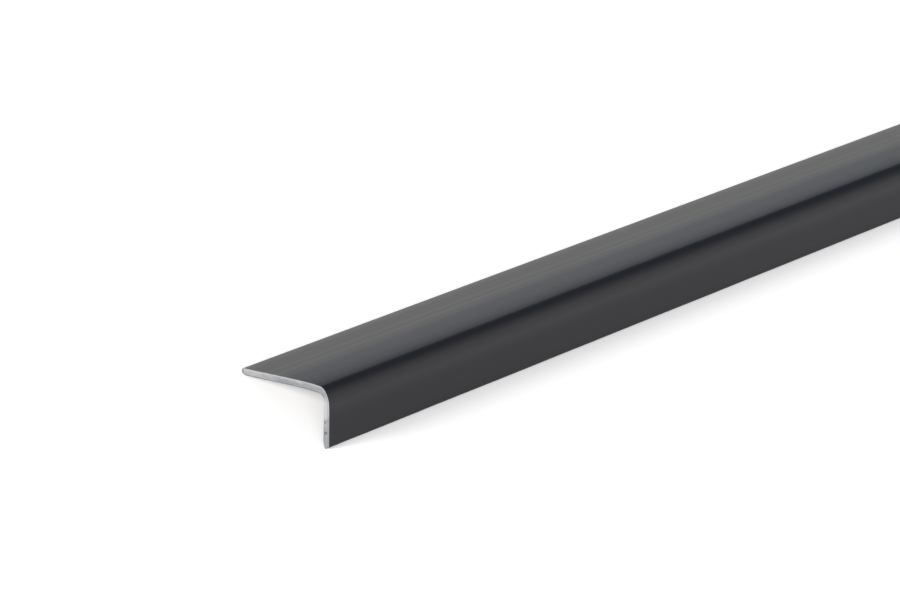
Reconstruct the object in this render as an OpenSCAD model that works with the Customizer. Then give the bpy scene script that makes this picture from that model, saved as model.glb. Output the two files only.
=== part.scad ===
// Corner angle in extruded rigid PVC, to cover the arris where two walls meet.
// One strip of one piece: a wide flange and a narrow leg at a right angle, joined by a round bend.
// It lies as it would on a level floor, bend up, on the free edge of the flange and the edge
// of the leg, with its length along X. The origin is on the floor, at the middle of its box.

/* [Strip] */
// Length of the strip as it is sold
strip_length = 1000; // [250:50:3000]

/* [Section] */
// Outer width of the wide flange, from the corner to its free edge
flange_w = 30; // [16:0.5:60]
// Outer width of the narrow leg, from the corner to its edge
leg_w = 10; // [8:0.5:16]
// Thickness of the flange and of the leg
wall = 1.2; // [0.8:0.1:2]

/* [Roundings] */
// Outer radius of the bend between the flange and the leg
bend_r = 3; // [2.4:0.1:5]
// Radius of the four long edges
edge_r = 0.4; // [0.1:0.05:0.6]

/* [Hidden] */
$fn = 48;

// The bend keeps the wall's thickness, and an edge is rounded at most to its half round
inner_r = bend_r - wall;
edge_round = min(edge_r, 0.45 * wall);

// Turn that brings the flange's free edge and the leg's edge down to one level
lean = atan((leg_w - wall) / (flange_w - wall));

// Centres of the edge roundings that touch the floor and that reach furthest to each side
rest_edge = [flange_w - edge_round, edge_round - wall];
far_edge = [flange_w - edge_round, -edge_round];
near_edge = [edge_round, edge_round - leg_w];

// Place of a point of the section after the turn
function turned(p) = [
    p[0] * cos(lean) + p[1] * sin(lean),
    p[1] * cos(lean) - p[0] * sin(lean)
];

floor_z = turned(rest_edge)[1] - edge_round;
mid_y = (turned(far_edge)[0] + turned(near_edge)[0]) / 2;

// Straight wall along +X of the section plane, with both corners of its far edge rounded
module straight_wall(width) {
    square([width - edge_round, wall]);
    translate([0, edge_round]) square([width, wall - 2 * edge_round]);
    for (side = [edge_round, wall - edge_round])
        translate([width - edge_round, side]) circle(edge_round);
}

// Quarter ring about its centre, from the flange's plane round to the leg's
module bend() {
    intersection() {
        difference() {
            circle(bend_r);
            circle(inner_r);
        }
        translate([-bend_r, 0]) square(bend_r);
    }
}

// Section with its sharp outer corner at the origin, the flange to +X and the leg down
module section() {
    translate([bend_r, -wall]) straight_wall(flange_w - bend_r);
    translate([0, -bend_r]) rotate(-90) straight_wall(leg_w - bend_r);
    translate([bend_r, -bend_r]) bend();
}

// The whole strip at rest
module corner_angle() {
    color("#5c5e61")
        translate([-strip_length / 2, -mid_y, -floor_z])
            rotate([90, 0, 90])
                linear_extrude(strip_length)
                    rotate(-lean) section();
}

corner_angle();
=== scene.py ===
# Looks of the corner angle: one strip of black PVC, lying bend up on a white floor.
from math import atan, cos, pi, radians, sin, tan

import bpy
from mathutils import Matrix, Vector


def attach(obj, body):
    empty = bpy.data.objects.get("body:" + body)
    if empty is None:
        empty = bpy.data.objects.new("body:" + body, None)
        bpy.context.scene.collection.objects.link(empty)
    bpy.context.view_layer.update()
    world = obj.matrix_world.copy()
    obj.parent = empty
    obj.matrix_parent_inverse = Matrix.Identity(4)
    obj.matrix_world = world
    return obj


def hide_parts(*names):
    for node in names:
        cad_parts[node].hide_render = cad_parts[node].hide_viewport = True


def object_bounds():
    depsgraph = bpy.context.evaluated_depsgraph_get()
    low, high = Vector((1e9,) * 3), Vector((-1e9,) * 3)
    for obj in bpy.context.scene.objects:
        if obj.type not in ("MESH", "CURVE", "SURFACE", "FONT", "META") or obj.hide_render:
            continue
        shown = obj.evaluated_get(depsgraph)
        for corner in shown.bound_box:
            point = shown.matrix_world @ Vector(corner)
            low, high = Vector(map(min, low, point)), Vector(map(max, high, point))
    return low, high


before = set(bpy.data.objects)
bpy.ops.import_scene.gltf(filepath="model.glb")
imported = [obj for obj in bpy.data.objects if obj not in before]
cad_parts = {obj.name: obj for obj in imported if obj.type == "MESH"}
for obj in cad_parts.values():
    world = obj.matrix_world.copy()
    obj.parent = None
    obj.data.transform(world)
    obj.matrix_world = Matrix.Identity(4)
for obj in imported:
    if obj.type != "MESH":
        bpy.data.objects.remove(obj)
cad_low, cad_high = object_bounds()

# Sizes of the section, in metres, as the strip's source has them
FLANGE_W = 0.030
LEG_W = 0.010
WALL = 0.0012
BEND_R = 0.003
EDGE_R = 0.0004
LENGTH = cad_high.x - cad_low.x

# Turn that sets the strip on its two long edges
LEAN = atan((LEG_W - WALL) / (FLANGE_W - WALL))

# Slope of the near end, which was sawn by hand, over the flange and down the leg
CUT_FLANGE = tan(radians(2.0))
CUT_LEG = tan(radians(13.0))

# How much further out the cut runs at the leg's edge
CUT_RUN_OUT = 0.00010


# Places


def turned(across, up):
    """A point of the section, given from its sharp outer corner, after the turn."""
    return (
        across * cos(LEAN) + up * sin(LEAN),
        up * cos(LEAN) - across * sin(LEAN),
    )


def section_shift():
    """How far the turned section moves to lie on the floor with its box about Y = 0."""
    rest = turned(FLANGE_W - EDGE_R, EDGE_R - WALL)
    far = turned(FLANGE_W - EDGE_R, -EDGE_R)
    near = turned(EDGE_R, EDGE_R - LEG_W)
    return Vector((0.0, -(far[0] + near[0]) / 2, EDGE_R - rest[1]))


SHIFT = section_shift()


# Node helpers


class Tree:
    """Adds nodes to a node tree and joins them, so that a formula reads from left to right."""

    def __init__(self, tree):
        self.tree = tree

    def add(self, kind, inputs=(), **settings):
        """A new node, with the given inputs joined or set."""
        node = self.tree.nodes.new(kind)
        for name, value in settings.items():
            setattr(node, name, value)
        for key, value in dict(inputs).items():
            self.put(node.inputs[key], value)
        return node

    def put(self, socket, value):
        """Joins an input to another node's output, or sets its value."""
        if isinstance(value, bpy.types.NodeSocket):
            self.tree.links.new(value, socket)
        else:
            socket.default_value = value

    def math(self, operation, *values):
        node = self.add("ShaderNodeMath", enumerate(values), operation=operation)
        return node.outputs[0]

    def plus(self, a, b):
        return self.math("ADD", a, b)

    def minus(self, a, b):
        return self.math("SUBTRACT", a, b)

    def times(self, a, b):
        return self.math("MULTIPLY", a, b)

    def least(self, a, b):
        return self.math("MINIMUM", a, b)

    def most(self, a, b):
        return self.math("MAXIMUM", a, b)

    def ramp(self, value, low, high, to_low=0.0, to_high=1.0):
        """A smooth ramp that goes from one level to the other between two values."""
        node = self.add(
            "ShaderNodeMapRange",
            {"Value": value, "From Min": low, "From Max": high, "To Min": to_low, "To Max": to_high},
            interpolation_type="SMOOTHSTEP",
        )
        return node.outputs["Result"]

    def steps(self, value, rows):
        """Sum of smooth steps, each given by where it starts, where it ends and its change."""
        total = 0.0
        for start, end, change in rows:
            total = self.plus(total, self.ramp(value, start, end, 0.0, change))
        return total

    def bands(self, value, rows):
        """Sum of soft bands, each given by its middle, its half width and its strength."""
        total = 0.0
        for middle, half_width, strength in rows:
            beside = self.math("ABSOLUTE", self.minus(value, middle))
            total = self.plus(total, self.ramp(beside, 0.0, half_width, strength, 0.0))
        return total

    def noise(self, vector, scale, detail=2.0, roughness=0.5, w=0.0):
        node = self.add(
            "ShaderNodeTexNoise",
            {"Vector": vector, "W": w, "Scale": scale, "Detail": detail, "Roughness": roughness},
            noise_dimensions="4D",
        )
        return node.outputs["Fac"]

    def drawn_noise(self, first, second, scales, third=0.0, **settings):
        """Noise that is drawn out, by its own scale in each of two directions."""
        spread = self.vector(self.times(first, scales[0]), self.times(second, scales[1]), third)
        return self.noise(spread, 1.0, **settings)

    def mix_colour(self, share, first, second):
        node = self.add("ShaderNodeMix", {"Factor": share, 6: first, 7: second}, data_type="RGBA")
        return node.outputs[2]

    def vector(self, x=0.0, y=0.0, z=0.0):
        return self.add("ShaderNodeCombineXYZ", {"X": x, "Y": y, "Z": z}).outputs[0]


# Strip

# Start of the noise in the strip's shape, and what its other noises add to it
SEED = 3.0
SHORT_WAVE_START = 5.0
CHIP_START = 9.0

# Fine box that is bent to the strip: rings along it, steps over the section, layers through the wall
RINGS = 110
STEPS_ACROSS = 300
LAYERS = 9

# How strongly the rings crowd towards both ends, and the steps towards both long edges
RING_CROWDING = 0.98
STEP_CROWDING = 0.8

# The crown rises as share * (1 - share ** power), and the factor brings its top to the full height
CROWN = 0.00026
CROWN_POWER = 6.0
CROWN_FACTOR = 1.614

# Wave of the leg's edge: its height, and the noise scale and share of its long and its short part
EDGE_WAVE = 0.00012
LONG_WAVE_SCALE = 60.0
SHORT_WAVE_SCALE = 300.0
LONG_WAVE_SHARE = 0.7
SHORT_WAVE_SHARE = 0.3

# How far from a sawn end the slant, the saw's damage and the wear reach
SLANT_REACH = 0.012
DAMAGE_REACH = 0.003
WEAR_REACH = 0.006

# Between these places on the leg, counted from the end of the bend, the cut runs out
RUN_OUT_FROM = 0.002
RUN_OUT_TO = 0.007

# The leg's cut leans out on its inner side by this much, and starts to at this place in the bend
LEG_CUT_LEAN = 0.00042
LEAN_FROM = -0.0022

# The saw's scores and chips: the depth of a score, their noise scales over the section and through
# the wall, the noise between whose levels a chip starts and is full, and its depth in scores
SAW_DEPTH = 0.00008
SCORE_SCALES = (900.0, 0.6)
CHIP_SCALES = (1600.0, 1.2)
CHIP_FROM = 0.62
CHIP_TO = 0.78
CHIP_TO_SCORE = 2.0

# Nicks in the leg's cut: their depth, the share of a nick's half height that is fully deep, and the
# layers over which a nick fades out
NICK_DEPTH = 0.00008
NICK_FLOOR = 0.4
NICK_FADE = 0.5

# Each nick: its distance from the end of the bend, its half height, and the layer that it reaches
LEG_NICKS = (
    (0.0027, 0.00025, 0.0),
    (0.0045, 0.00035, 0.5),
)

# Wear on the inner side of both long edges: its depth, and its reach in from each edge
EDGE_WEAR = 0.00030
WORN_FLANGE = 0.0015
WORN_LEG = 0.0013

# From the bend down to this place on the leg, the cut is broken and pale on its inner side
BROKEN_TO = 0.0025

# The box's places run from -0.5 to 0.5, and a face past this one is a sawn end
END_FACE = 0.4999

# Edges that turn by more than this stay sharp
SHARP_ANGLE = radians(50)


def strip_inputs():
    """Named inputs of the strip's tree: socket kind and value."""
    return {
        "Length": ("NodeSocketFloat", LENGTH),
        "Flange Width": ("NodeSocketFloat", FLANGE_W),
        "Leg Width": ("NodeSocketFloat", LEG_W),
        "Wall": ("NodeSocketFloat", WALL),
        "Bend Radius": ("NodeSocketFloat", BEND_R),
        "Edge Radius": ("NodeSocketFloat", EDGE_R),
        "Rings": ("NodeSocketInt", RINGS),
        "Steps Across": ("NodeSocketInt", STEPS_ACROSS),
        "Layers": ("NodeSocketInt", LAYERS),
        "Flange Crown": ("NodeSocketFloat", CROWN),
        "Edge Wave": ("NodeSocketFloat", EDGE_WAVE),
        "Cut Slope Flange": ("NodeSocketFloat", CUT_FLANGE),
        "Cut Slope Leg": ("NodeSocketFloat", CUT_LEG),
        "Cut Run Out": ("NodeSocketFloat", CUT_RUN_OUT),
        "Saw Depth": ("NodeSocketFloat", SAW_DEPTH),
        "Leg Cut Lean": ("NodeSocketFloat", LEG_CUT_LEAN),
        "Edge Wear": ("NodeSocketFloat", EDGE_WEAR),
        "Nick Depth": ("NodeSocketFloat", NICK_DEPTH),
        "Seed": ("NodeSocketFloat", SEED),
    }


def crowded(t, value, strength):
    """Moves places between -0.5 and 0.5 towards both ends."""
    wave = t.math("SINE", t.times(value, 2 * pi))
    return t.plus(value, t.times(wave, strength / (2 * pi)))


def end_fade(t, to_end, reach):
    """1 at a sawn end, falling smoothly to 0 at the given distance from it."""
    left = t.most(t.minus(1.0, t.math("DIVIDE", to_end, reach)), 0.0)
    return t.math("POWER", left, 2.0)


def rounded_wall(t, across, mid_line, half_wall, edge_r):
    """Half the wall, which thins within the edge radius of both long edges, so that they are round."""
    to_edge = t.least(t.least(across, t.minus(mid_line, across)), edge_r)
    back = t.minus(edge_r, to_edge)
    rise = t.math("SQRT", t.most(t.minus(t.times(edge_r, edge_r), t.times(back, back)), 0.0))
    return t.plus(t.minus(half_wall, edge_r), rise)


def edge_wear(t, across, mid_line):
    """1 at both long edges, falling to 0 within the reach of the wear."""
    from_leg = t.minus(mid_line, across)
    return t.plus(t.ramp(across, 0.0, WORN_FLANGE, 1.0, 0.0), t.ramp(from_leg, 0.0, WORN_LEG, 1.0, 0.0))


def crown_rise(t, share):
    """The flange's crown, from 0 at its free edge to 1 at its top and 0 again in the bend."""
    rise = t.times(share, t.minus(1.0, t.math("POWER", share, CROWN_POWER)))
    return t.times(rise, CROWN_FACTOR)


def leg_edge_wave(t, along, seed):
    """How much longer or shorter the leg is along the strip, between about -0.5 and 0.5."""
    long_wave = t.noise(t.vector(t.times(along, LONG_WAVE_SCALE)), 1.0, w=seed)
    start = t.plus(seed, SHORT_WAVE_START)
    short_wave = t.noise(t.vector(t.times(along, SHORT_WAVE_SCALE)), 1.0, w=start)
    both = t.plus(t.times(long_wave, LONG_WAVE_SHARE), t.times(short_wave, SHORT_WAVE_SHARE))
    return t.minus(both, 0.5)


def leg_nicks(t, down_leg, layer):
    """Two small nicks in the leg's cut, on its inner side: how deep each place is, from 0 to 1."""
    both = 0.0
    for place, half_height, reach in LEG_NICKS:
        beside = t.math("ABSOLUTE", t.minus(down_leg, place))
        depth = t.ramp(beside, half_height * NICK_FLOOR, half_height, 1.0, 0.0)
        inner = t.ramp(layer, reach - NICK_FADE, reach, 1.0, 0.0)
        both = t.plus(both, t.times(depth, inner))
    return both


def cut_slant(t, given, down_leg, section_y, section_z):
    """How far the near end is sawn back by the cut's slope."""
    over_flange = t.times(section_y, given["Cut Slope Flange"])
    down = t.times(t.plus(given["Leg Width"], section_z), given["Cut Slope Leg"])
    run_out = t.times(t.ramp(down_leg, RUN_OUT_FROM, RUN_OUT_TO, 1.0, 0.0), given["Cut Run Out"])
    return t.plus(t.plus(over_flange, down), run_out)


def saw_scores(t, given, across, layer, end_side):
    """How deep the saw has scored and chipped both ends."""
    seed = given["Seed"]
    score = t.drawn_noise(across, layer, SCORE_SCALES, end_side, detail=3.0, w=seed)
    chips = t.drawn_noise(across, layer, CHIP_SCALES, end_side, w=t.plus(seed, CHIP_START))
    chip = t.ramp(chips, CHIP_FROM, CHIP_TO)
    return t.times(t.plus(score, t.times(chip, CHIP_TO_SCORE)), given["Saw Depth"])


def strip_shape(t, given, place):
    """For each point of the box: its way over the section, its layer in the wall and its new place."""
    flange = given["Flange Width"]
    bend_r = given["Bend Radius"]
    along = t.times(crowded(t, place["X"], RING_CROWDING), given["Length"])
    half_wall = t.times(given["Wall"], 0.5)
    mid_r = t.minus(bend_r, half_wall)
    flange_run = t.minus(flange, bend_r)
    bend_run = t.times(mid_r, pi / 2)
    leg_run = t.minus(given["Leg Width"], bend_r)
    mid_line = t.plus(t.plus(flange_run, bend_run), leg_run)
    across = t.times(t.plus(crowded(t, place["Y"], STEP_CROWDING), 0.5), mid_line)
    down_leg = t.minus(across, t.plus(flange_run, bend_run))

    # Layers run from -1 on the inner side to 1 on the outer side
    layer = t.times(place["Z"], 2.0)
    inner_share = t.times(t.minus(1.0, layer), 0.5)
    near_end = t.math("LESS_THAN", place["X"], 0.0)
    end_side = t.math("SIGN", place["X"])
    to_end = t.minus(t.times(given["Length"], 0.5), t.math("ABSOLUTE", along))

    # Way out from the mid line: the wall, its wear at the near end, and the flange's crown
    out = t.times(layer, rounded_wall(t, across, mid_line, half_wall, given["Edge Radius"]))
    worn = t.times(t.times(edge_wear(t, across, mid_line), given["Edge Wear"]), near_end)
    out = t.plus(out, t.times(t.times(worn, inner_share), end_fade(t, to_end, WEAR_REACH)))
    share = t.least(t.math("DIVIDE", across, t.plus(flange_run, t.times(bend_run, 0.5))), 1.0)
    out = t.plus(out, t.times(crown_rise(t, share), given["Flange Crown"]))

    # Place on the mid line: over the flange, round the bend and down the leg
    on_flange = t.least(across, flange_run)
    turn = t.most(t.least(t.math("DIVIDE", t.minus(across, flange_run), mid_r), pi / 2), 0.0)
    turn_sin = t.math("SINE", turn)
    turn_cos = t.math("COSINE", turn)
    on_leg = t.most(t.minus(t.minus(across, flange_run), bend_run), 0.0)
    wave = leg_edge_wave(t, along, given["Seed"])
    leg_share = t.math("DIVIDE", on_leg, leg_run)
    longer = t.times(t.times(wave, leg_share), t.times(given["Edge Wave"], 2.0))
    before_bend = t.minus(t.minus(flange, on_flange), t.times(mid_r, turn_sin))
    section_y = t.minus(before_bend, t.times(out, turn_sin))
    drop = t.plus(t.plus(half_wall, t.times(mid_r, t.minus(1.0, turn_cos))), t.plus(on_leg, longer))
    section_z = t.minus(t.times(out, turn_cos), drop)

    # Sawn ends: both are scored, and the near one is slanted, leans out on the leg and has nicks
    slant = t.times(cut_slant(t, given, down_leg, section_y, section_z), near_end)
    lean_out = t.times(t.times(inner_share, t.ramp(down_leg, LEAN_FROM, 0.0)), given["Leg Cut Lean"])
    nick = t.times(t.times(leg_nicks(t, down_leg, layer), given["Nick Depth"]), near_end)
    damage = t.plus(saw_scores(t, given, across, layer, end_side), nick)
    damage = t.minus(damage, t.times(lean_out, near_end))
    inward = t.plus(
        t.times(slant, end_fade(t, to_end, SLANT_REACH)),
        t.times(damage, end_fade(t, to_end, DAMAGE_REACH)),
    )
    sawn_along = t.minus(along, t.times(inward, end_side))
    return across, layer, t.vector(sawn_along, section_y, section_z)


def strip_tree(skin, sawn):
    """Bends a fine box along the mid line of the section, so that the strip is one closed surface."""
    tree = bpy.data.node_groups.new("extruded_strip", "GeometryNodeTree")
    for name, (kind, value) in strip_inputs().items():
        tree.interface.new_socket(name, in_out="INPUT", socket_type=kind).default_value = value
    tree.interface.new_socket("Geometry", in_out="OUTPUT", socket_type="NodeSocketGeometry")
    t = Tree(tree)
    given = t.add("NodeGroupInput").outputs
    box = t.add(
        "GeometryNodeMeshCube",
        {
            "Size": (1.0, 1.0, 1.0),
            "Vertices X": given["Rings"],
            "Vertices Y": given["Steps Across"],
            "Vertices Z": given["Layers"],
        },
    )
    place = t.add("ShaderNodeSeparateXYZ", {0: t.add("GeometryNodeInputPosition").outputs[0]}).outputs
    across, layer, bent_place = strip_shape(t, given, place)

    # The end faces and the materials' fields are kept before the box is bent
    ends = t.add("GeometryNodeCaptureAttribute", domain="FACE")
    ends.capture_items.new("FLOAT", "End")
    t.put(ends.inputs["Geometry"], box.outputs["Mesh"])
    t.put(ends.inputs["End"], t.math("GREATER_THAN", t.math("ABSOLUTE", place["X"]), END_FACE))
    named = ends.outputs["Geometry"]
    for name, value in (("across", across), ("layer", layer)):
        store = t.add(
            "GeometryNodeStoreNamedAttribute",
            {"Geometry": named, "Name": name, "Value": value},
            data_type="FLOAT",
            domain="POINT",
        )
        named = store.outputs["Geometry"]

    bent = t.add("GeometryNodeSetPosition", {"Geometry": named, "Position": bent_place})
    laid = t.add(
        "GeometryNodeTransform",
        {"Geometry": bent.outputs[0], "Translation": SHIFT, "Rotation": (-LEAN, 0.0, 0.0)},
    )
    smooth = t.add("GeometryNodeSetShadeSmooth", {"Geometry": laid.outputs[0], "Shade Smooth": True})
    angle = t.add("GeometryNodeInputMeshEdgeAngle").outputs["Unsigned Angle"]
    sharp = t.add(
        "GeometryNodeSetShadeSmooth",
        {
            "Geometry": smooth.outputs[0],
            "Selection": t.math("GREATER_THAN", angle, SHARP_ANGLE),
            "Shade Smooth": False,
        },
        domain="EDGE",
    )
    whole = t.add("GeometryNodeRealizeInstances", {"Geometry": sharp.outputs[0]})
    coated = t.add("GeometryNodeSetMaterial", {"Geometry": whole.outputs[0], "Material": skin})
    cut = t.add(
        "GeometryNodeSetMaterial",
        {"Geometry": coated.outputs[0], "Selection": ends.outputs["End"], "Material": sawn},
    )
    t.put(t.add("NodeGroupOutput").inputs["Geometry"], cut.outputs[0])
    return tree


def plain_mesh(name, tree, values):
    """Runs a tree on an empty mesh with the given inputs and keeps the result as a plain mesh."""
    carrier = bpy.data.objects.new(name + "_carrier", bpy.data.meshes.new(name + "_carrier"))
    bpy.context.scene.collection.objects.link(carrier)
    modifier = carrier.modifiers.new("shape", "NODES")
    modifier.node_group = tree
    sockets = {s.name: s.identifier for s in tree.interface.items_tree if s.in_out == "INPUT"}
    for key, value in values.items():
        modifier[sockets[key]] = value
    graph = bpy.context.evaluated_depsgraph_get()
    shown = carrier.evaluated_get(graph)
    mesh = bpy.data.meshes.new_from_object(shown, preserve_all_data_layers=True, depsgraph=graph)
    mesh.name = name
    bpy.data.objects.remove(carrier)
    piece = bpy.data.objects.new(name, mesh)
    bpy.context.scene.collection.objects.link(piece)
    return piece


# Finishes


def new_material(name):
    """A material with only its Principled shader, and the tree helper on it."""
    material = bpy.data.materials.new(name)
    material.use_nodes = True
    t = Tree(material.node_tree)
    shader = material.node_tree.nodes["Principled BSDF"]
    return material, t, shader


def attribute(t, name):
    """A field that the strip's tree has left on its points."""
    return t.add("ShaderNodeAttribute", attribute_name=name).outputs["Fac"]


# Skin: the streaks that the die drew, by noise scale over the section and along the strip, the
# haze, which has one scale, and where the noise of two of them starts
LINE_SCALES = (900.0, 0.7)
BROAD_LINE_SCALES = (420.0, 0.9)
FINE_LINE_SCALES = (3000.0, 0.25)
HAZE_SCALE = 30.0
BROAD_LINE_START = 7.0
FINE_LINE_START = 11.0

# Their shares in the skin's shade, and the lines' share in its relief beside the broad ones
LINE_SHARE = 0.40
BROAD_LINE_SHARE = 0.45
HAZE_SHARE = 0.15
LINE_RELIEF = 0.3

# Ramps: where each starts and ends, then its levels there. The shade to the colour, the shade to
# the roughness, the fine noise to a line, and the haze to the strength of all the lines and painted
# sheen
SHADE_TO_COLOUR = (0.35, 0.65)
SHADE_TO_ROUGHNESS = (0.3, 0.7, 0.29, 0.31)
NOISE_TO_FINE_LINE = (0.35, 0.65, -0.5, 0.5)
HAZE_TO_LINES_AND_SHEEN = (0.2, 0.8, 0.7, 1.1)

# Skin's colours: its own two tones, then a painted warm sheen, a painted shade and a painted sheen
SKIN_DARKER = (0.0130, 0.0132, 0.0158, 1.0)
SKIN_LIGHTER = (0.0155, 0.0157, 0.0183, 1.0)
SKIN_WARM_SHEEN = (0.0165, 0.0148, 0.0114, 1.0)
SKIN_PAINTED_SHADE = (0.0038, 0.0070, 0.0102, 1.0)
SKIN_PAINTED_SHEEN = (0.0310, 0.0310, 0.0330, 1.0)

# What a pale line, or a band of painted sheen, of strength 1 adds to the skin
LINE_AND_SHEEN_COLOUR = (0.0172, 0.0154, 0.0128)

# Painted warm sheen on the skin from the free edge to the first of these places, fading out by the
# second
WARM_SHEEN_FADE = (0.0120, 0.0150, 1.0, 0.0)

# Band of painted shade, darker and bluer, over the flange's middle: places from the free edge between
# which it comes or goes, and how its share changes
PAINTED_SHADE_STEPS = (
    (0.0130, 0.0170, 0.45),
    (0.0170, 0.0200, 0.40),
    (0.0215, 0.0250, -0.50),
    (0.0250, 0.0275, -0.35),
)

# More matt band, in the same way: how the roughness changes
MATT_STEPS = (
    (0.0140, 0.0176, 0.021),
    (0.0182, 0.0222, -0.021),
)

# Pale lines that the die left along the flange, and, in the first two rows and the last, broad bands
# of painted sheen: place from the free edge, half width, strength
DIE_LINES_AND_SHEEN = (
    (0.0000, 0.0150, 0.90),
    (0.0002, 0.0036, 2.40),
    (0.0054, 0.0011, 0.20),
    (0.0089, 0.0008, 2.40),
    (0.0120, 0.0008, 2.50),
    (0.0150, 0.0007, 1.00),
    (0.0192, 0.0008, 0.20),
    (0.0245, 0.0035, 0.35),
)

# Strength of the fine lines between them, and the places between which they come and go
FINE_LINES = 3.0
FINE_LINES_COME = (0.0030, 0.0060)
FINE_LINES_GO = (0.0140, 0.0165, 1.0, 0.0)

# Painted sheen at the head of the leg: its middle, counted from the free edge over the bend, its half
# width and its share
LEG_HEAD_SHEEN = 0.0307
LEG_HEAD_SHEEN_HALF_WIDTH = 0.0026
LEG_HEAD_SHEEN_SHARE = 0.55

# How strongly the skin mirrors, and how high its lines stand
SKIN_IOR = 1.38
SKIN_RELIEF = 0.000006


def die_lines_and_sheen(t, across, along, haze):
    """How pale the die's lines and the bands of painted sheen make each place on the skin."""
    fine = t.drawn_noise(across, along, FINE_LINE_SCALES, detail=1.0, w=FINE_LINE_START)
    scored = t.least(t.ramp(across, *FINE_LINES_COME), t.ramp(across, *FINE_LINES_GO))
    fine = t.times(t.ramp(fine, *NOISE_TO_FINE_LINE), t.times(scored, FINE_LINES))
    pale = t.most(t.plus(t.bands(across, DIE_LINES_AND_SHEEN), fine), 0.0)
    return t.times(pale, t.ramp(haze, *HAZE_TO_LINES_AND_SHEEN))


def pvc_skin():
    """Black PVC with a satin skin, fine lines drawn along it by the die, and painted sheen and shade.
    """
    material, t, shader = new_material("black_pvc_skin")
    across = attribute(t, "across")
    place = t.add("ShaderNodeTexCoord").outputs["Object"]
    along = t.add("ShaderNodeSeparateXYZ", {0: place}).outputs["X"]

    lines = t.drawn_noise(across, along, LINE_SCALES, detail=0.0)
    broad_lines = t.drawn_noise(across, along, BROAD_LINE_SCALES, detail=0.0, w=BROAD_LINE_START)
    haze = t.noise(place, HAZE_SCALE, detail=2.0)
    shade = t.plus(t.times(broad_lines, BROAD_LINE_SHARE), t.times(haze, HAZE_SHARE))
    shade = t.plus(t.times(lines, LINE_SHARE), shade)

    colour = t.mix_colour(t.ramp(shade, *SHADE_TO_COLOUR), SKIN_DARKER, SKIN_LIGHTER)
    # Painted warm sheen over the free edge's side of the flange
    colour = t.mix_colour(t.ramp(across, *WARM_SHEEN_FADE), colour, SKIN_WARM_SHEEN)
    # Painted shade, darker and bluer, over the flange's middle
    colour = t.mix_colour(t.steps(across, PAINTED_SHADE_STEPS), colour, SKIN_PAINTED_SHADE)
    # Pale die lines, and broad bands of painted sheen
    paler = t.add("ShaderNodeVectorMath", {0: t.vector(*LINE_AND_SHEEN_COLOUR)}, operation="SCALE")
    t.put(paler.inputs["Scale"], die_lines_and_sheen(t, across, along, haze))
    colour = t.add("ShaderNodeVectorMath", {0: colour, 1: paler.outputs[0]}, operation="ADD").outputs[0]
    # Painted sheen at the head of the leg
    from_head = t.math("ABSOLUTE", t.minus(across, LEG_HEAD_SHEEN))
    leg_head_sheen = t.ramp(from_head, 0.0, LEG_HEAD_SHEEN_HALF_WIDTH, LEG_HEAD_SHEEN_SHARE, 0.0)
    colour = t.mix_colour(leg_head_sheen, colour, SKIN_PAINTED_SHEEN)
    t.put(shader.inputs["Base Color"], colour)

    roughness = t.plus(t.ramp(shade, *SHADE_TO_ROUGHNESS), t.steps(across, MATT_STEPS))
    t.put(shader.inputs["Roughness"], roughness)
    relief = t.plus(t.times(lines, LINE_RELIEF), broad_lines)
    bump = t.add("ShaderNodeBump", {"Height": relief, "Strength": 1.0, "Distance": SKIN_RELIEF})
    t.put(shader.inputs["Normal"], bump.outputs[0])
    shader.inputs["IOR"].default_value = SKIN_IOR
    return material


# Sawn ends: the saw's streaks and patches, by noise scale over the section and through the wall,
# and where the noise of the patches starts
STREAK_SCALES = (500.0, 1.4)
PATCH_SCALES = (160.0, 0.8)
PATCH_START = 4.0

# Shares of the streaks, the patches and the layer in the sawn tone, and the tones that the colour
# goes between
STREAK_SHARE = 0.5
PATCH_SHARE = 0.5
LAYER_SHARE = 0.10
TONE_TO_COLOUR = (0.34, 0.64)

# Ramps over the sawn ends, given as above, and from 0 to 1 where no levels are given. Places on the
# flange are counted from its free edge, those on the leg from the end of the bend, and layers go
# from -1 on the inner side to 1 on the outer side
TONE_OVER_FLANGE = (0.002, 0.014, 0.10, -0.06)
DARKER_LEG = (0.0015, BROKEN_TO, 0.0, 0.18)
DARKER_LEG_LAYERS = (-0.4, 0.8)
RIM_TIP = (0.0003, 0.0007, 1.0, 0.0)
RIM_LAYERS = (-0.92, -0.60, 1.0, 0.0)
RIM_OVER_FLANGE = (0.004, 0.014, 1.0, 0.75)
RIM_ABOVE_BREAK = (-0.003, -0.001, 1.0, 0.0)
RIM_BELOW_BREAK = (BROKEN_TO, BROKEN_TO + 0.0006, 0.0, 0.5)
BREAK_START = (-0.0025, -0.0005)
BREAK_END = (BROKEN_TO - 0.0007, BROKEN_TO, 1.0, 0.0)
BREAK_LAYERS = (-0.2, 0.6, 1.0, 0.0)
# Painted highlight along the outer edge: the layers where it comes, and its share down the leg
EDGE_HIGHLIGHT_LAYERS = (0.45, 0.85)
EDGE_HIGHLIGHT_DOWN_LEG = (0.0010, BROKEN_TO, 0.2, 0.0)

# How much of the rim's dark the rim takes, and the nicks, where it is painted shade
RIM_SHARE = 0.85
NICK_SHADE_SHARE = 0.75

# Colours of the sawn ends
SAWN_DARKER = (0.135, 0.144, 0.152, 1.0)
SAWN_LIGHTER = (0.230, 0.233, 0.240, 1.0)
SAWN_RIM_AND_NICK_SHADE = (0.045, 0.047, 0.054, 1.0)
SAWN_BREAK = (0.275, 0.280, 0.290, 1.0)
SAWN_EDGE_HIGHLIGHT = (0.45, 0.455, 0.47, 1.0)

# How matt the sawn ends are, and how high their streaks stand
SAWN_ROUGHNESS = 0.6
SAWN_RELIEF = 0.00006


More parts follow.
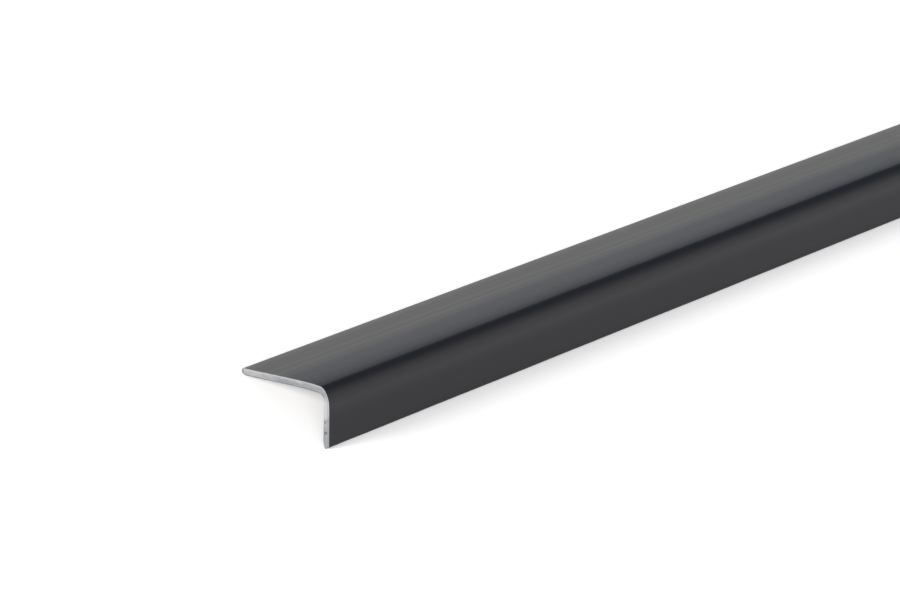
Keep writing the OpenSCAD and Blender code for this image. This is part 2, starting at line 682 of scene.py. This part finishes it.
def sawn_tone(t, across, layer, down_leg, streaks):
    """The sawn end's tone: streaks and patches, paler towards the tip and outside, darker low on the
    leg.
    """
    patches = t.drawn_noise(across, layer, PATCH_SCALES, detail=1.0, w=PATCH_START)
    tone = t.plus(t.times(patches, PATCH_SHARE), t.times(layer, LAYER_SHARE))
    tone = t.plus(t.times(streaks, STREAK_SHARE), tone)
    tone = t.plus(tone, t.ramp(across, *TONE_OVER_FLANGE))
    darker = t.times(t.ramp(layer, *DARKER_LEG_LAYERS), t.ramp(down_leg, *DARKER_LEG))
    return t.minus(tone, darker)


def dark_rim(t, across, layer, down_leg):
    """Dark rim at the free edge's tip and along the underside, but not beside the break."""
    underside = t.times(t.ramp(layer, *RIM_LAYERS), t.ramp(across, *RIM_OVER_FLANGE))
    off_break = t.most(t.ramp(down_leg, *RIM_ABOVE_BREAK), t.ramp(down_leg, *RIM_BELOW_BREAK))
    return t.most(t.ramp(across, *RIM_TIP), t.times(underside, off_break))


def pale_break(t, layer, down_leg):
    """Pale break on the inner side, below the bend."""
    height = t.least(t.ramp(down_leg, *BREAK_START), t.ramp(down_leg, *BREAK_END))
    return t.times(height, t.ramp(layer, *BREAK_LAYERS))


def pvc_sawn():
    """Sawn PVC: grey where the saw tore it, dark at the rim, painted shade in the nicks, pale at the
    break.
    """
    material, t, shader = new_material("sawn_pvc")
    across = attribute(t, "across")
    layer = attribute(t, "layer")
    down_leg = t.minus(across, FLANGE_W - BEND_R + (BEND_R - WALL / 2) * pi / 2)
    streaks = t.drawn_noise(across, layer, STREAK_SCALES, detail=3.0, roughness=0.55)

    tone = sawn_tone(t, across, layer, down_leg, streaks)
    colour = t.mix_colour(t.ramp(tone, *TONE_TO_COLOUR), SAWN_DARKER, SAWN_LIGHTER)
    rim = t.times(dark_rim(t, across, layer, down_leg), RIM_SHARE)
    # Painted shade in the nicks, in the rim's dark colour
    nicks = t.times(leg_nicks(t, down_leg, layer), NICK_SHADE_SHARE)
    colour = t.mix_colour(t.least(t.plus(rim, nicks), 1.0), colour, SAWN_RIM_AND_NICK_SHADE)
    colour = t.mix_colour(pale_break(t, layer, down_leg), colour, SAWN_BREAK)

    # Painted highlight along the outer edge, in colour only, down to the end of the break
    edge_highlight = t.times(t.ramp(layer, *EDGE_HIGHLIGHT_LAYERS), t.ramp(down_leg, *EDGE_HIGHLIGHT_DOWN_LEG))
    colour = t.mix_colour(edge_highlight, colour, SAWN_EDGE_HIGHLIGHT)
    t.put(shader.inputs["Base Color"], colour)
    shader.inputs["Roughness"].default_value = SAWN_ROUGHNESS
    bump = t.add("ShaderNodeBump", {"Height": streaks, "Strength": 0.5, "Distance": SAWN_RELIEF})
    t.put(shader.inputs["Normal"], bump.outputs[0])
    return material


# Whites of the floor: the one that lights the strip, the one that is seen, and how much of the
# seen one glows by itself, so that it stays white in the shade
FLOOR_WHITE = (0.80, 0.80, 0.80, 1.0)
SEEN_WHITE = (1.08, 1.08, 1.08, 1.0)
GLOW_SHARE = 0.30


def floor_white():
    """White floor that the camera and mirrors see a little brighter than the light it gives back."""
    material, t, shader = new_material("white_floor")
    path = t.add("ShaderNodeLightPath").outputs
    seen = t.most(t.most(path["Is Camera Ray"], path["Is Glossy Ray"]), path["Is Transmission Ray"])
    diffuse = t.add("ShaderNodeBsdfDiffuse", {"Color": FLOOR_WHITE})
    bright = t.add("ShaderNodeBsdfDiffuse", {"Color": SEEN_WHITE})
    glow = t.add("ShaderNodeEmission", {"Color": (1.0, 1.0, 1.0, 1.0), "Strength": 1.0})
    shown = t.add("ShaderNodeMixShader", {0: GLOW_SHARE, 1: bright.outputs[0], 2: glow.outputs[0]})
    both = t.add("ShaderNodeMixShader", {0: seen, 1: diffuse.outputs[0], 2: shown.outputs[0]})
    material.node_tree.nodes.remove(shader)
    t.put(material.node_tree.nodes["Material Output"].inputs["Surface"], both.outputs[0])
    return material


# Stage

# From the floor's middle to each of its sides
FLOOR_HALF = 30.0

# The studio's walls: pale behind the camera, dark at the back, and dimmer on the left
FRONT_WALL = (0.96, 0.96, 0.98, 1.0)
BACK_WALL = (0.042, 0.074, 0.116, 1.0)
LEFT_SHARE = 0.32

# Direction from the camera's side to the back, level with the floor
TO_BACK_X = 0.53
TO_BACK_Y = 0.85

# Between these shares of that direction the studio goes from pale to dark, and between these of the
# direction along the strip it goes from dim on the left to bright
PALE_TO_DARK = (-0.12, 0.50)
LEFT_TO_RIGHT = (-0.1, 0.35)


def add_floor():
    """A white floor that reaches past all that the camera sees."""
    size = FLOOR_HALF
    mesh = bpy.data.meshes.new("floor")
    corners = [(-size, -size, 0.0), (size, -size, 0.0), (size, size, 0.0), (-size, size, 0.0)]
    mesh.from_pydata(corners, [], [(0, 1, 2, 3)])
    mesh.materials.append(floor_white())
    floor = bpy.data.objects.new("floor", mesh)
    bpy.context.scene.collection.objects.link(floor)


def add_studio():
    """A studio all round: a pale wall behind the camera, dimmer on the left, and a dark back."""
    world = bpy.data.worlds.new("studio")
    world.use_nodes = True
    bpy.context.scene.world = world
    t = Tree(world.node_tree)
    direction = t.add("ShaderNodeTexCoord").outputs["Generated"]
    part = t.add("ShaderNodeSeparateXYZ", {0: direction}).outputs
    backward = t.plus(t.times(part["X"], TO_BACK_X), t.times(part["Y"], TO_BACK_Y))
    colour = t.mix_colour(t.ramp(backward, *PALE_TO_DARK), FRONT_WALL, BACK_WALL)
    background = world.node_tree.nodes["Background"]
    t.put(background.inputs["Color"], colour)
    t.put(background.inputs["Strength"], t.ramp(part["X"], *LEFT_TO_RIGHT, LEFT_SHARE, 1.0))


def add_lamp(name, azimuth, elevation, angle, level, colour):
    """A broad distant lamp that gives the floor the given level; its azimuth goes from left to back."""
    data = bpy.data.lights.new(name, "SUN")
    data.angle = angle
    data.energy = level * pi / sin(elevation)
    data.color = colour
    lamp = bpy.data.objects.new(name, data)
    towards = Vector((-cos(elevation) * cos(azimuth), cos(elevation) * sin(azimuth), sin(elevation)))
    lamp.rotation_mode = "QUATERNION"
    lamp.rotation_quaternion = towards.to_track_quat("Z", "Y")
    bpy.context.scene.collection.objects.link(lamp)


# Camera: angles and lens worked out from the strip's edges and cut end in the picture
VIEW_AZIMUTH = radians(38.28)
VIEW_ELEVATION = radians(27.82)
VIEW_ROLL = radians(-0.30)
LENS_PIXELS = 2460.9
PICTURE_WIDTH = 900
SENSOR_WIDTH = 36.0

# Where the camera sees the section's outer corner at the near end: how far off, right and up, in metres
CORNER_DISTANCE = 0.4218
CORNER_RIGHT = -0.02079
CORNER_UP = -0.01531


def add_camera():
    """The camera of the picture, placed from the section's outer corner at the near end."""
    ahead = Vector(
        (
            cos(VIEW_ELEVATION) * sin(VIEW_AZIMUTH),
            cos(VIEW_ELEVATION) * cos(VIEW_AZIMUTH),
            -sin(VIEW_ELEVATION),
        )
    )
    level = ahead.cross(Vector((0, 0, 1))).normalized()
    upright = level.cross(ahead)
    right = level * cos(VIEW_ROLL) + upright * sin(VIEW_ROLL)
    up = upright * cos(VIEW_ROLL) - level * sin(VIEW_ROLL)
    corner = Vector((cad_low.x + LEG_W * CUT_LEG + CUT_RUN_OUT, 0.0, 0.0)) + SHIFT
    place = corner - right * CORNER_RIGHT - up * CORNER_UP - ahead * CORNER_DISTANCE
    data = bpy.data.cameras.new("camera")
    data.sensor_width = SENSOR_WIDTH
    data.lens = LENS_PIXELS / PICTURE_WIDTH * SENSOR_WIDTH
    data.clip_start = 0.01
    data.clip_end = 200.0
    camera = bpy.data.objects.new("camera", data)
    turn = Matrix((right, up, -ahead)).transposed()
    camera.matrix_world = Matrix.Translation(place) @ turn.to_4x4()
    bpy.context.scene.collection.objects.link(camera)
    bpy.context.scene.camera = camera


# Scene
add_camera()
strip = plain_mesh("strip", strip_tree(pvc_skin(), pvc_sawn()), {"Seed": SEED})
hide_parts("corner_angle")
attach(strip, "root")

add_floor()
add_studio()
add_lamp(
    "key",
    azimuth=radians(25),
    elevation=radians(22),
    angle=radians(28),
    level=0.50,
    colour=(1.0, 0.985, 0.965),
)
add_lamp(
    "front",
    azimuth=radians(-60),
    elevation=radians(20),
    angle=radians(28),
    level=0.26,
    colour=(1.0, 0.99, 0.98),
)

bpy.context.scene.view_settings.view_transform = "Standard"
